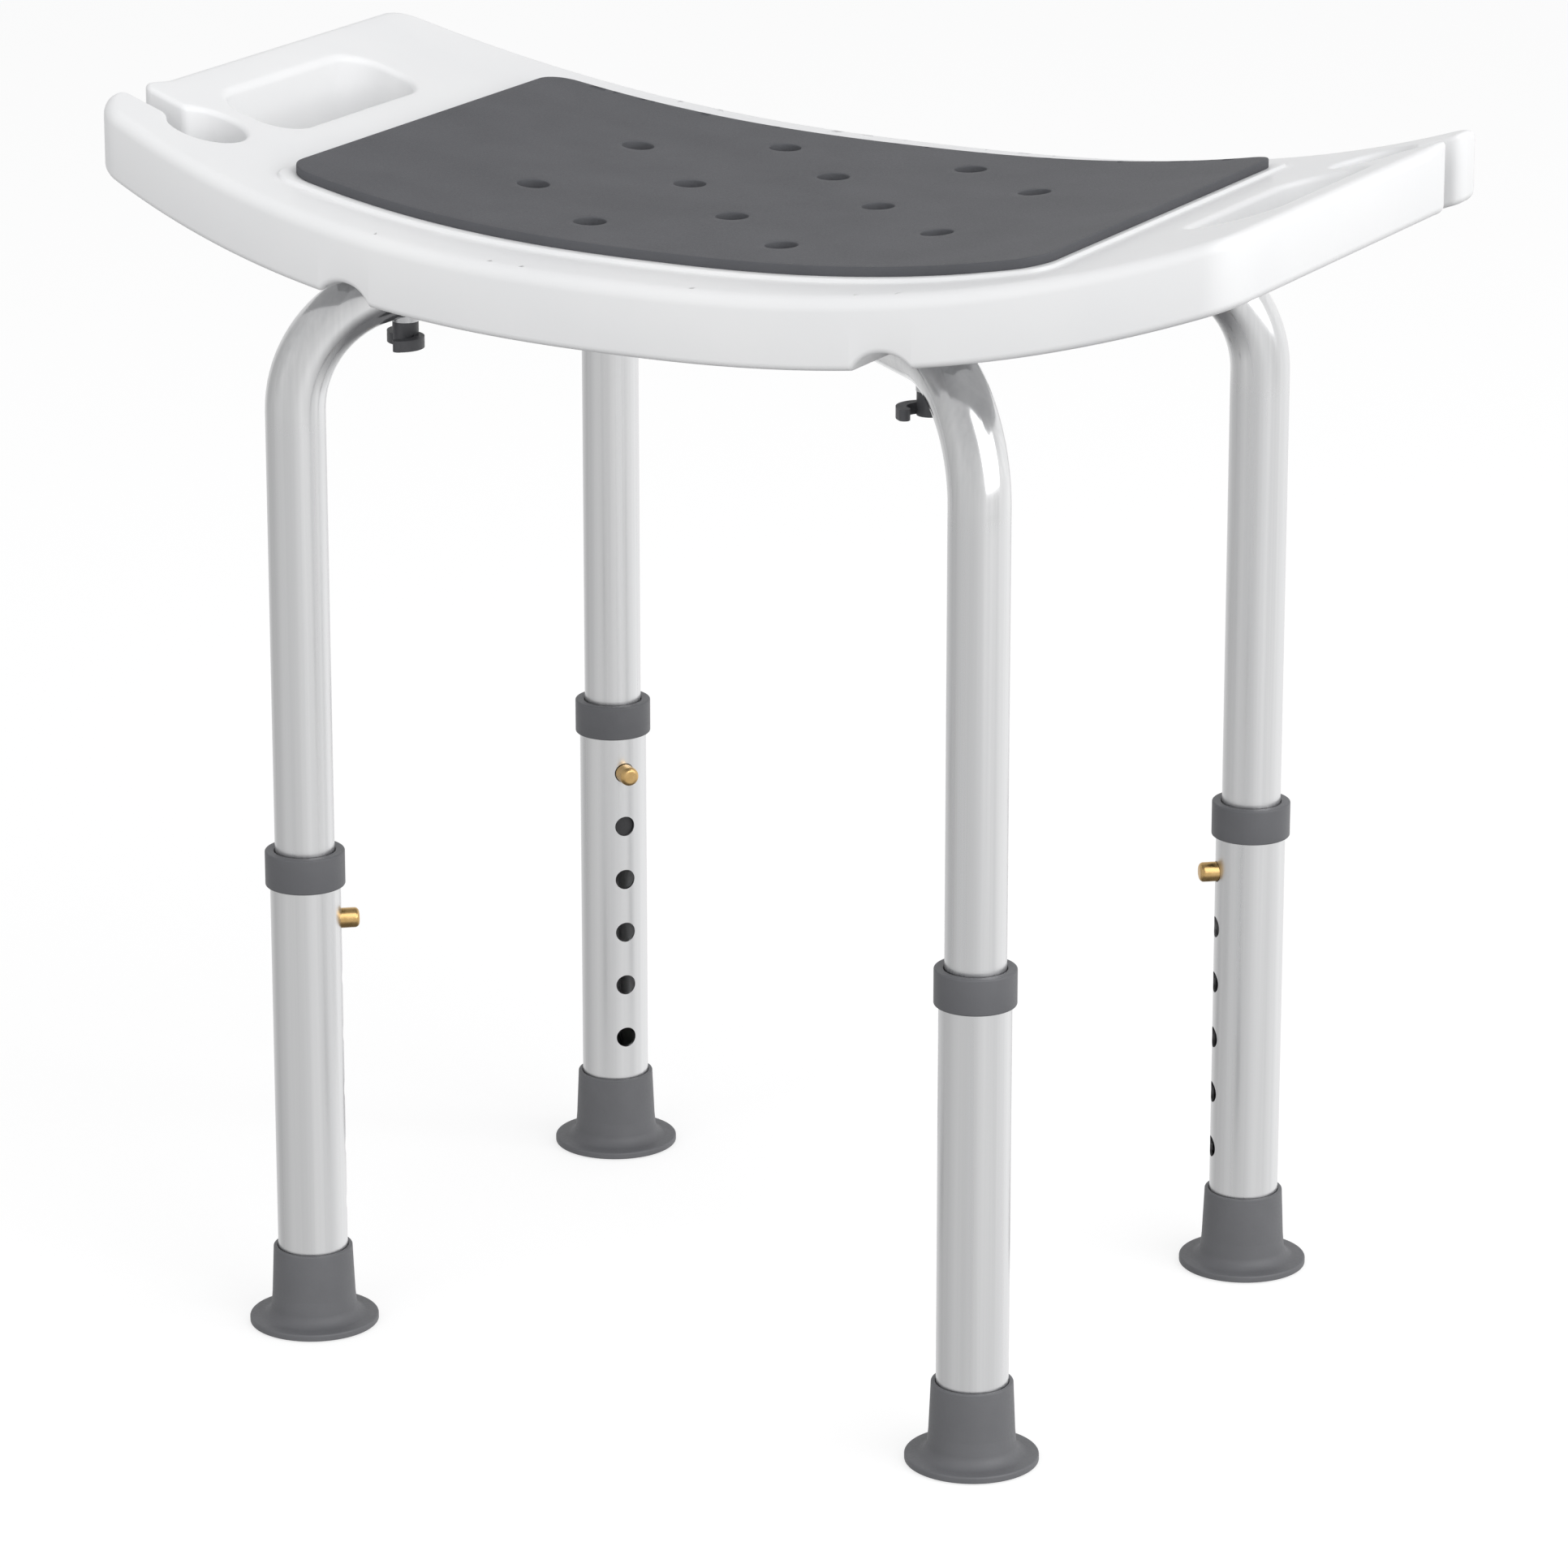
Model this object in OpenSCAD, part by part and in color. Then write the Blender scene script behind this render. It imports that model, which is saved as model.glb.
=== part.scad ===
// Shower stool: a dished, blow-moulded seat with a foam pad, on four height-adjustable tube legs.
// Origin: on the floor, under the middle of the seat. +X runs along the seat, +Y to its back, +Z up.

/* [Seat] */
// Length of the seat, end to end
seat_len = 530; // [442:1:636]
// Width of the seat across its middle
seat_w = 304; // [254:1:364]
// How far each long edge has drawn in by the ends of the seat
edge_bow = 33.5; // [20:0.5:40]
// Radius of the seat's four corners, seen from above
corner_r = 17; // [12:1:20]
// Height of the underside above the floor, at the middle of the seat
underside_h = 453.5; // [378:0.5:544]
// Thickness of the seat, measured upright
seat_t = 30; // [27:0.5:36]
// How much higher the seat's ends are than its middle
dish_rise = 42; // [34:0.5:50]
// How sharply the dish and the long edges turn near the ends
curve_power = 2.42; // [2:0.01:3]
// Wall of the hollow moulding
shell_wall = 3; // [2.5:0.1:3.6]

/* [Handle slots and keyholes] */
// Width of each handle slot, along the seat
slot_w = 38; // [34:0.5:46]
// Length of each handle slot, across the seat
slot_len = 111; // [96:1:118]
// Corner radius of the handle slots
slot_r = 16; // [12:0.5:17]
// Material between a handle slot and the seat's end
slot_rim = 21; // [17:0.5:25]
// How far the left slot sits towards the back of the middle, and the right one towards the front
slot_shift = -5; // [-8:0.5:0]
// Radius of the round part of the keyholes for a hand shower
keyhole_r = 16.5; // [14:0.5:17]
// Distance from the seat's end to the keyhole's centre
keyhole_in = 37; // [34:0.5:42]
// Distance from the seat's middle line to the keyhole's centre
keyhole_y = 89.5; // [88:0.5:93]
// Width of the keyhole's mouth
mouth_w = 13; // [11:0.5:15.5]

/* [Drain holes] */
// Diameter of the drain holes
drain_d = 14; // [12:0.5:16]
// Distance from the middle to the inner columns of holes
drain_x1 = 45; // [38:0.5:48]
// Distance from the middle to the outer columns of holes
drain_x2 = 95.5; // [86:0.5:100]
// Distance from the middle line to the holes of the two-hole columns
drain_y2 = 43.5; // [38:0.5:46]
// Distance from the middle line to the outer holes of the three-hole columns
drain_y3 = 82.5; // [76:0.5:86]

/* [Pad] */
// Thickness of the foam pad
pad_t = 4; // [3.3:0.1:5]
// Gap between the handle slots and the pad
pad_slot_gap = 29.5; // [24:0.5:35]
// Distance from the seat's long edge to the pad, at the middle
pad_edge_gap = 35.5; // [30:0.5:42]
// How far each long edge of the pad has drawn in by its ends
pad_bow = 8; // [4:0.5:10]
// Corner radius of the pad
pad_r = 14; // [10:0.5:18]
// Height of the raised bed that the pad lies on
bed_h = 1.5; // [1:0.1:2]
// How far the bed shows around the pad
bed_rim = 5; // [3:0.5:7]
// Corner radius of the bed
bed_r = 10; // [6:0.5:14]

/* [Leg tubes] */
// Distance from the seat's end to the leg's axis
leg_in_x = 104.5; // [96:0.5:112]
// Distance from the seat's long edge to the leg's axis, at the middle of the seat
leg_in_y = 23; // [23:0.5:28]
// Outer diameter of the upper tubes
upper_d = 25.4; // [21.2:0.1:26]
// Wall of the upper tubes
upper_wall = 1.3; // [1.1:0.1:1.6]
// Outer diameter of the lower tubes
lower_d = 30; // [29.6:0.1:32]
// Wall of the lower tubes
lower_wall = 1.2; // [1:0.1:1.4]
// Radius of the bend at the tube's centre line
bend_r = 51.5; // [43:0.5:62]
// Height of the run under the seat above the seat's underside at the middle
run_rise = 3.6; // [2:0.1:5]
// Length from the leg's axis to the end of the run under the seat
run_len = 150; // [125:1:160]
// Angle between the run under the seat and the seat's length
run_angle = 37; // [34:0.5:40]

/* [Height adjustment] */
// Distance between the height settings
hole_pitch = 25.4; // [21.2:0.1:30.4]
// Number of height settings
hole_count = 6; // [5:1:6]
// Diameter of the holes for the snap button
hole_d = 9.2; // [9:0.1:10]
// Angle between the row of holes and the seat's length
hole_angle = 39; // [34:0.5:44]
// Distance from the foot up to the lowest hole
low_hole_gap = 20.2; // [18:0.1:24]
// Distance from the top hole up to the collar
collar_gap = 16.2; // [13.5:0.1:19.4]

/* [Collars and feet] */
// Height of the collar
collar_h = 15.4; // [13:0.1:18.4]
// Wall of the collar around the lower tube
collar_wall = 2; // [1.7:0.1:2.4]
// Thickness of the collar's lip over the end of the lower tube
collar_lip = 3; // [2.5:0.1:3.6]
// Height of the foot
foot_h = 35.2; // [30:0.1:42]
// Diameter of the foot's flange
foot_d = 55.6; // [48:0.1:66]
// Thickness of the flange at its edge
flange_t = 3.4; // [2.9:0.1:4]
// Thickness of the foot under the tube
foot_base = 8; // [6.7:0.1:9.6]
// Wall of the foot at its top
foot_wall = 2; // [1.7:0.1:2.4]
// Radius of the fillet between the foot's cup and its flange
foot_fillet = 5.5; // [4.5:0.5:6.5]
// Thickness of the steel disc in the foot
disc_t = 1.2; // [1:0.1:1.5]

/* [Snap buttons] */
// Diameter of the snap button
button_d = 8.6; // [8:0.1:8.6]
// How far the button stands out of the lower tube
button_out = 7.6; // [6:0.1:9]
// Radius of the rounding on the button's tip
button_round = 2; // [1:0.1:3]
// Thickness of the spring strip
strip_t = 1; // [0.8:0.1:1.2]
// Width of the spring strip
strip_w = 8; // [6.7:0.1:9]
// Length of the spring's arms below the button
strip_arm = 20; // [17:0.5:22]
// Distance from the button down to the end of the upper tube
tube_below = 32; // [31:0.5:38]

/* [Knobs and bolts] */
// Distance from the leg's axis to the bolt's axis, along the run
bolt_at = 46.5; // [46:0.5:52]
// Diameter of the bolt
bolt_d = 6; // [5:0.1:6.4]
// Outer radius of the knob's two curved lobes
lobe_r = 10.4; // [9.6:0.1:10.6]
// Thickness of the knob's lobes
lobe_w = 4.4; // [3.6:0.1:5]
// Height of the knob's lobes
lobe_h = 4.7; // [4:0.1:5.6]
// How far round each lobe goes
lobe_sweep = 148; // [130:1:155]
// Angle between the line of the lobes and the tube's run
lobe_turn = 60; // [50:1:70]
// Diameter of the knob's hub
hub_d = 11; // [10:0.1:12]
// Height of the knob's hub above the lobes
hub_h = 5.2; // [5:0.1:6]
// Outer diameter of the threaded insert
insert_d = 9.2; // [8.4:0.1:10.4]
// Length of the threaded insert
insert_len = 11; // [9.2:0.1:13]

/* [Hidden] */
$fn = 64;
// Gap left where one piece slides or turns past another
running_gap = 0.3;
// Gap left where one piece only rests against another
rest_gap = 0.1;
// Gap between a bolt and the thread or bush it turns in
thread_gap = 0.05;
// Amount that a cut passes beyond the face it opens
past = 1;
// Steps in half of the dish and of each long edge
curve_steps = 12;
// Steps in each corner of the seat and the pad
corner_steps = 6;
// Radius and axis height, below the tube runs, of the reliefs that open through the long edges
relief_r = 16;
relief_drop = 6;
// How far each relief sits from its bolt towards the seat's end
relief_shift = 2.6;
// Diameter of the two blow-pin holes under the seat
vent_d = 6;
// Rim of the saddle washer around the hub, and of the button's shoulder around the button
washer_rim = 0.3;
shoulder_rim = 1.1;
// Thickness of the knob's hub below the end of the bolt
knob_cap = 3;
// How much the round tip of a lobe stands out past the lobe's faces
tip_swell = 0.2;
// How far round its ring each lobe starts, inside the hub
lobe_start = 10;
// How far the bolt ends short of the insert's top
bolt_short = 1;

half_len = seat_len / 2;
half_w = seat_w / 2;
pad_half_len = half_len - slot_rim - slot_w - pad_slot_gap;
pad_half_w = half_w - pad_edge_gap;
leg_x = half_len - leg_in_x;
leg_y = half_w - leg_in_y;
upper_r = upper_d / 2;
upper_bore_r = upper_r - upper_wall;
lower_r = lower_d / 2;
lower_bore_r = lower_r - lower_wall;
run_z = underside_h + run_rise;
bend_z = run_z - bend_r;
channel_r = upper_r + running_gap;
// The bent tube only reaches up to the underside of the seat from here on
channel_start = 0.36 * bend_r;
vent_y = 0.9 * pad_half_w;
low_hole_z = foot_h + low_hole_gap;
travel = (hole_count - 1) * hole_pitch;
button_z = low_hole_z + travel;
collar_z = button_z + collar_gap;
collar_top = collar_z + collar_h;
lower_top = collar_top - collar_lip;
lower_end = foot_base + disc_t;
bush_flange = 1.2;
bush_h = 12;
upper_end = button_z - tube_below;
plug_flange = 2;
plug_len = 12;
shoulder_t = 1;
shoulder_r = button_d / 2 + shoulder_rim;
// The shoulder's rim stays inside the upper tube
shoulder_x = sqrt(pow(upper_bore_r - rest_gap, 2) - pow(shoulder_r, 2)) - shoulder_t;
strip_x = shoulder_x - rest_gap;
bolt_r = bolt_d / 2;
// The washer's flat side is level with the lowest point of the tube that it covers
washer_r = hub_d / 2 + washer_rim;
bend_inner_r = bend_r - upper_r;
washer_reach = max(bend_r - bolt_at + washer_r, 0);
washer_z = bend_z + sqrt(pow(bend_inner_r, 2) - pow(washer_reach, 2)) - 2 * rest_gap;
knob_top = washer_z - rest_gap;
lobe_top = knob_top - hub_h;
lobe_z = lobe_top - lobe_h;
bolt_base = lobe_z + knob_cap;
insert_z = run_z + channel_r + rest_gap;
bolt_top = insert_z + insert_len - bolt_short;

// name, side of the seat along X, side along Y
LEGS = [["fl", -1, -1], ["fr", 1, -1], ["bl", -1, 1], ["br", 1, 1]];
LEG_PARTS = ["upper_tube", "guide_bush", "lower_tube", "collar", "foot", "foot_disc",
             "snap_button", "button_spring", "knob", "knob_bolt"];
SEAT_PARTS = ["seat_shell", "seat_pad", "seat_inserts", "saddle_washers", "tube_end_plugs"];

// ---- Curves shared by the seat and the pad ----

// Share of the full rise or bow reached at x
function swell(x, reach) = pow(abs(x) / reach, curve_power);
// Slope of swell() at x
function swell_slope(x, reach) = curve_power * pow(abs(x) / reach, curve_power - 1) / reach;
// Height of the underside of the seat at x
function under_z(x) = underside_h + dish_rise * swell(x, half_len);
// Height of the top of the seat at x
function top_z(x) = under_z(x) + seat_t;

// One quarter of a bowed outline: the long edge from the middle, then the round corner
function quarter(len, wide, bow, r) =
    let (lean0 = atan(bow * swell_slope(len - r, len)),
         tangent_x = len - r * (1 - sin(lean0)),
         lean = atan(bow * swell_slope(tangent_x, len)),
         cy = wide - bow * swell(tangent_x, len) - r * cos(lean))
    concat(
        [for (i = [0:curve_steps])
            let (x = tangent_x * i / curve_steps) [x, wide - bow * swell(x, len)]],
        [for (i = [1:corner_steps]) let (a = (90 - lean) * (1 - i / corner_steps))
            [len - r + r * cos(a), cy + r * sin(a)]]);

function reversed(list) = [for (i = [len(list) - 1:-1:0]) list[i]];
function flipped(list, sx, sy) = [for (p = list) [sx * p[0], sy * p[1]]];
// The list without its first point, which would repeat the point before it
function rest_of(list) = [for (i = [1:len(list) - 1]) list[i]];
// The whole outline, from its four mirrored quarters
function outline(len, wide, bow, r) =
    let (q = quarter(len, wide, bow, r), b = reversed(q))
    concat(q, flipped(b, 1, -1), rest_of(flipped(q, -1, -1)),
           [for (i = [0:len(b) - 2]) flipped(b, -1, 1)[i]]);

module seat_outline(inset) {
    polygon(outline(half_len - inset, half_w - inset, edge_bow, corner_r - inset));
}

module pad_outline(extra, r) {
    polygon(outline(pad_half_len + extra, pad_half_w + extra, pad_bow, r));
}

// A band that follows the dish, between two heights measured from the seat's top
module dish_band(low, high) {
    reach = half_len + 2 * past;
    xs = [for (i = [-curve_steps:curve_steps]) reach * i / curve_steps];
    rotate([90, 0, 0])
        linear_extrude(seat_w + 2 * past, center = true)
            polygon(concat([for (x = xs) [x, top_z(x) + low]],
                           [for (x = reversed(xs)) [x, top_z(x) + high]]));
}

// ---- Placing what repeats ----

module at_leg(leg, angle) {
    translate([leg[1] * leg_x, leg[2] * leg_y, 0])
        rotate([0, 0, leg[1] < 0 ? -leg[2] * angle : 180 + leg[2] * angle])
            children();
}

// Both ends of the seat: the second is the first turned half round
module both_ends() {
    children();
    rotate([0, 0, 180]) children();
}

// A row of points for the drain holes
DRAINS = concat(
    [for (x = [-drain_x2, 0, drain_x2]) for (y = [-drain_y2, drain_y2]) [x, y]],
    [for (x = [-drain_x1, drain_x1]) for (y = [-drain_y3, 0, drain_y3]) [x, y]]);

module upright(r, low, high) {
    translate([0, 0, low]) cylinder(r = r, h = high - low);
}

// ---- Seat ----

// Handle slot of the left end, larger all round by the margin
module slot_shape(margin) {
    long = slot_len / 2 + margin;
    wide = slot_w / 2 + margin;
    r = slot_r + margin;
    translate([-half_len + slot_rim + slot_w / 2, slot_shift]) {
        square([2 * wide, 2 * (long - r)], center = true);
        square([2 * (wide - r), 2 * long], center = true);
        for (sx = [-1, 1])
            for (sy = [-1, 1])
                translate([sx * (wide - r), sy * (long - r)]) circle(r);
    }
}

// Keyhole of the left end, larger all round by the margin
module keyhole_shape(margin) {
    translate([-half_len + keyhole_in, -keyhole_y]) {
        circle(keyhole_r + margin);
        translate([-keyhole_in - past, -mouth_w / 2 - margin])
            square([keyhole_in + past, mouth_w + 2 * margin]);
    }
}

// Space under the seat for one tube: the run, and below it down past the underside
module channel(leg, margin) {
    r = channel_r + margin;
    start = channel_start - margin;
    stop = run_len + plug_flange + running_gap + margin;
    at_leg(leg, run_angle) {
        translate([start, 0, run_z]) rotate([0, 90, 0]) cylinder(r = r, h = stop - start);
        translate([start, -r, run_z - seat_t]) cube([stop - start, 2 * r, seat_t]);
    }
}

// Half-round relief where a tube leaves the seat, open through the long edge
module relief(leg, margin) {
    bolt_x = leg[1] * (leg_x - bolt_at * cos(run_angle));
    inner_y = leg_y - bolt_at * sin(run_angle);
    r = relief_r + margin;
    translate([bolt_x + leg[1] * relief_shift, leg[2] * (half_w + past), run_z - relief_drop])
        rotate([90 * leg[2], 0, 0])
            cylinder(r = r, h = half_w + past - inner_y);
}

module seat_hollow() {
    intersection() {
        dish_band(shell_wall - seat_t, -shell_wall);
        translate([0, 0, underside_h])
            linear_extrude(dish_rise + seat_t) seat_outline(shell_wall);
    }
}

// Walls that stand inside the hollow around everything that passes through the seat
module seat_posts() {
    low = underside_h - past;
    high = underside_h + dish_rise + seat_t + past;
    both_ends()
        translate([0, 0, low])
            linear_extrude(high - low) {
                slot_shape(shell_wall);
                keyhole_shape(shell_wall);
            }
    for (p = DRAINS)
        translate(p) upright(drain_d / 2 + shell_wall, low, high);
    for (leg = LEGS) {
        channel(leg, shell_wall);
        relief(leg, shell_wall);
        at_leg(leg, run_angle)
            translate([bolt_at, 0]) upright(insert_d / 2 + shell_wall, low, high);
    }
}

module seat_openings() {
    low = underside_h - past;
    high = underside_h + dish_rise + seat_t + bed_h + past;
    both_ends()
        translate([0, 0, low])
            linear_extrude(high - low) {
                slot_shape(0);
                keyhole_shape(0);
            }
    for (p = DRAINS)
        translate(p) upright(drain_d / 2, low, high);
    for (leg = LEGS) {
        channel(leg, 0);
        relief(leg, 0);
        at_leg(leg, run_angle)
            translate([bolt_at, 0]) upright(insert_d / 2, run_z, insert_z + insert_len);
    }
    for (side = [-1, 1])
        translate([0, side * vent_y]) upright(vent_d / 2, low, underside_h + seat_t / 2);
}

module seat_shell() {
    color("white")
        difference() {
            union() {
                intersection() {
                    dish_band(-seat_t, 0);
                    translate([0, 0, underside_h - past])
                        linear_extrude(dish_rise + seat_t + 2 * past) seat_outline(0);
                }
                intersection() {
                    dish_band(-shell_wall / 2, bed_h);
                    translate([0, 0, underside_h])
                        linear_extrude(dish_rise + seat_t + bed_h) pad_outline(bed_rim, bed_r);
                }
            }
            difference() {
                seat_hollow();
                seat_posts();
            }
            seat_openings();
        }
}

module seat_pad() {
    color([0.36, 0.36, 0.38])
        difference() {
            intersection() {
                dish_band(bed_h, bed_h + pad_t);
                translate([0, 0, underside_h])
                    linear_extrude(dish_rise + seat_t + bed_h + pad_t) pad_outline(0, pad_r);
            }
            for (p = DRAINS)
                translate(p) upright(drain_d / 2, underside_h, underside_h + dish_rise + 2 * seat_t);
        }
}

// Threaded inserts moulded into the seat above the tubes
module seat_inserts() {
    color("gold")
        for (leg = LEGS)
            at_leg(leg, run_angle)
                translate([bolt_at, 0])
                    difference() {
                        upright(insert_d / 2, insert_z, insert_z + insert_len);
                        upright(bolt_r + thread_gap, insert_z - past, insert_z + insert_len + past);
                    }
}

// ---- Tubes ----

// The path of an upper tube as a solid of the given radius, in the leg's own frame
module bent_rod(r, low, high_x) {
    upright(r, low, bend_z);
    translate([bend_r, 0, bend_z])
        rotate([90, 0, 180])
            rotate_extrude(angle = 90) translate([bend_r, 0]) circle(r);
    translate([bend_r, 0, run_z]) rotate([0, 90, 0]) cylinder(r = r, h = high_x - bend_r);
}

// A hole for the snap button, from the axis outwards
module button_hole() {
    rotate([0, 90, 0]) cylinder(d = hole_d, h = lower_r + past);
}

module upper_tube(leg) {
    color("silver")
        difference() {
            at_leg(leg, run_angle)
                difference() {
                    bent_rod(upper_r, upper_end, run_len);
                    bent_rod(upper_bore_r, upper_end - past, run_len + past);
                    translate([bolt_at, 0])
                        upright(bolt_r + running_gap, bend_z, run_z + channel_r + past);
                }
            at_leg(leg, hole_angle) translate([0, 0, button_z]) button_hole();
        }
}

// Bush on the end of the upper tube that slides in the lower tube
module guide_bush(leg) {
    color([0.25, 0.25, 0.27])
        at_leg(leg, 0)
            difference() {
                upright(lower_bore_r - running_gap, upper_end - bush_flange, upper_end + bush_h);
                upright(upper_r, upper_end, upper_end + bush_h + past);
                upright(upper_bore_r, upper_end - bush_flange - past, upper_end + past);
            }
}

module lower_tube(leg) {
    color("silver")
        difference() {
            at_leg(leg, 0)
                difference() {
                    upright(lower_r, lower_end, lower_top);
                    upright(lower_bore_r, lower_end - past, lower_top + past);
                }
            at_leg(leg, hole_angle)
                for (i = [0:hole_count - 1])
                    translate([0, 0, low_hole_z + i * hole_pitch]) button_hole();
        }
}

module saddle_washers() {
    color("gainsboro")
        for (leg = LEGS)
            at_leg(leg, run_angle)
                difference() {
                    translate([bolt_at, 0])
                        difference() {
                            upright(washer_r, washer_z, run_z);
                            upright(bolt_r + running_gap, washer_z - past, run_z + past);
                        }
                    bent_rod(upper_r, bend_z - bend_r, run_len);
                }
}

module tube_end_plugs() {
    color([0.2, 0.2, 0.21])
        for (leg = LEGS)
            at_leg(leg, run_angle)
                translate([run_len, 0, run_z])
                    rotate([0, 90, 0])
                        difference() {
                            union() {
                                cylinder(r = upper_r, h = plug_flange);
                                translate([0, 0, -plug_len]) cylinder(r = upper_bore_r, h = plug_len);
                            }
                            translate([0, 0, -plug_len - past])
                                cylinder(r = upper_bore_r - upper_wall, h = plug_len + past);
                        }
}

// ---- Collars and feet ----

module collar(leg) {
    r = lower_r + collar_wall;
    chamfer = 0.6;
    color([0.42, 0.42, 0.43])
        at_leg(leg, 0)
            rotate_extrude()
                polygon([[lower_r, collar_z], [r - chamfer, collar_z], [r, collar_z + chamfer],
                         [r, collar_top - chamfer], [r - chamfer, collar_top],
                         [upper_r + running_gap, collar_top], [upper_r + running_gap, lower_top],
                         [lower_r, lower_top]]);
}

module foot(leg) {
    top_r = lower_r + foot_wall;
    skirt_r = top_r + 1.6;
    edge = 0.8;
    flange_r = foot_d / 2;
    brow_z = flange_t + edge / 2;
    fillet_steps = 8;
    color([0.42, 0.42, 0.43])
        at_leg(leg, 0)
            rotate_extrude()
                polygon(concat(
                    [[0, 0], [flange_r - edge, 0], [flange_r, edge], [flange_r, flange_t - edge],
                     [flange_r - edge, flange_t]],
                    [for (i = [0:fillet_steps]) let (a = 90 * i / fillet_steps)
                        [skirt_r + foot_fillet * (1 - sin(a)), brow_z + foot_fillet * (1 - cos(a))]],
                    [[top_r, foot_h - edge], [top_r - edge / 2, foot_h], [lower_r, foot_h],
                     [lower_r, foot_base], [0, foot_base]]));
}

// Steel disc that keeps the tube from cutting through the foot
module foot_disc(leg) {
    color("darkgray")
        at_leg(leg, 0)
            upright(lower_r - running_gap, foot_base, lower_end);
}

// ---- Snap buttons ----

module snap_button(leg) {
    tip_x = lower_r + button_out;
    r = button_d / 2;
    round_steps = 6;
    color("goldenrod")
        at_leg(leg, hole_angle)
            translate([0, 0, button_z])
                rotate([0, 90, 0])
                    rotate_extrude()
                        polygon(concat(
                            [[0, shoulder_x], [shoulder_r, shoulder_x],
                             [shoulder_r, shoulder_x + shoulder_t], [r, shoulder_x + shoulder_t]],
                            [for (i = [0:round_steps]) let (a = 90 * i / round_steps)
                                [r - button_round * (1 - cos(a)), tip_x - button_round * (1 - sin(a))]],
                            [[0, tip_x]]));
}

// Folded strip inside the upper tube that pushes the button out
module button_spring(leg) {
    mid_r = strip_x - strip_t / 2;
    arm_top = button_z + button_d;
    arm_low = button_z - strip_arm;
    color("gray")
        at_leg(leg, hole_angle) {
            for (side = [-1, 1])
                translate([side * mid_r - strip_t / 2, -strip_w / 2, arm_low])
                    cube([strip_t, strip_w, arm_top - arm_low]);
            translate([0, 0, arm_low])
                rotate([90, 0, 0])
                    rotate([0, 0, 180])
                        rotate_extrude(angle = 180)
                            translate([mid_r, 0]) square([strip_t, strip_w], center = true);
        }
}

// ---- Knobs ----

// One curved lobe of the knob: part of a ring that starts inside the hub and ends in a round tip
module knob_lobe(side) {
    inner_r = lobe_r - lobe_w;
    tip_angle = 180 - lobe_start - lobe_sweep;
    rotate([0, 0, side * lobe_turn])
        translate([inner_r, 0, lobe_z]) {
            rotate([0, 0, side > 0 ? tip_angle : 180 + lobe_start])
                rotate_extrude(angle = lobe_sweep) translate([inner_r, 0]) square([lobe_w, lobe_h]);
            rotate([0, 0, side * tip_angle])
                translate([inner_r + lobe_w / 2, 0]) cylinder(r = lobe_w / 2 + tip_swell, h = lobe_h);
        }
}

module knob(leg) {
    // The knobs of neighbouring legs are mirror images
    side = leg[1] * leg[2];
    color([0.12, 0.12, 0.13])
        at_leg(leg, run_angle)
            translate([bolt_at, 0])
                difference() {
                    union() {
                        upright(hub_d / 2, lobe_z, knob_top);
                        knob_lobe(side);
                        rotate([0, 0, 180]) knob_lobe(side);
                    }
                    upright(bolt_r, bolt_base, knob_top + past);
                }
}

// The bolt is moulded into the knob and turns with it
module knob_bolt(leg) {
    tip = 0.8;
    color("silver")
        at_leg(leg, run_angle)
            translate([bolt_at, 0])
                rotate_extrude()
                    polygon([[0, bolt_base], [bolt_r, bolt_base], [bolt_r, bolt_top - tip],
                             [bolt_r - tip, bolt_top], [0, bolt_top]]);
}

// ---- Every node ----

seat_shell();
seat_pad();
seat_inserts();
saddle_washers();
tube_end_plugs();
for (leg = LEGS) {
    upper_tube(leg);
    guide_bush(leg);
    lower_tube(leg);
    collar(leg);
    foot(leg);
    foot_disc(leg);
    snap_button(leg);
    button_spring(leg);
    knob(leg);
    knob_bolt(leg);
}
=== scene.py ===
"""Shower stool: the looks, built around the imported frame.

Lengths are in millimetres until a mesh is made.
"""
import math

import bpy
import numpy as np
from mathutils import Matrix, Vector
from mathutils.geometry import delaunay_2d_cdt


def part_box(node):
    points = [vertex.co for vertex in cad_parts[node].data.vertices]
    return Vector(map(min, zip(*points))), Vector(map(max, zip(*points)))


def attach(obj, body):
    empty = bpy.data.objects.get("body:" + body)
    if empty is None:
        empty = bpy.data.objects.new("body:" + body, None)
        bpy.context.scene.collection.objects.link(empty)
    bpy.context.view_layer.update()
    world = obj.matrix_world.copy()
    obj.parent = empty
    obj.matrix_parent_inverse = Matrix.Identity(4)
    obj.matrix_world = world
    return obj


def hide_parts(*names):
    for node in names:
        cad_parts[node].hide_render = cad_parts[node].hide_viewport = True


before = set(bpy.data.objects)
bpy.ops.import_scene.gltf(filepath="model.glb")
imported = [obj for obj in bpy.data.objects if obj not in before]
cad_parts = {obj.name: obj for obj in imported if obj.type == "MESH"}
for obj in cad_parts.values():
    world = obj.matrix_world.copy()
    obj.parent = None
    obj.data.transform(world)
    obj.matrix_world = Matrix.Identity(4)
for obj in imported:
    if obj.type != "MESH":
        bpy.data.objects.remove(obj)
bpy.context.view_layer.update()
MM = 0.001
LEGS = ("fl", "fr", "bl", "br")


def box_mm(node):
    """Lowest and highest corner of a CAD node, in millimetres."""
    lo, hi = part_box(node)
    return np.array(lo) / MM, np.array(hi) / MM


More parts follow.
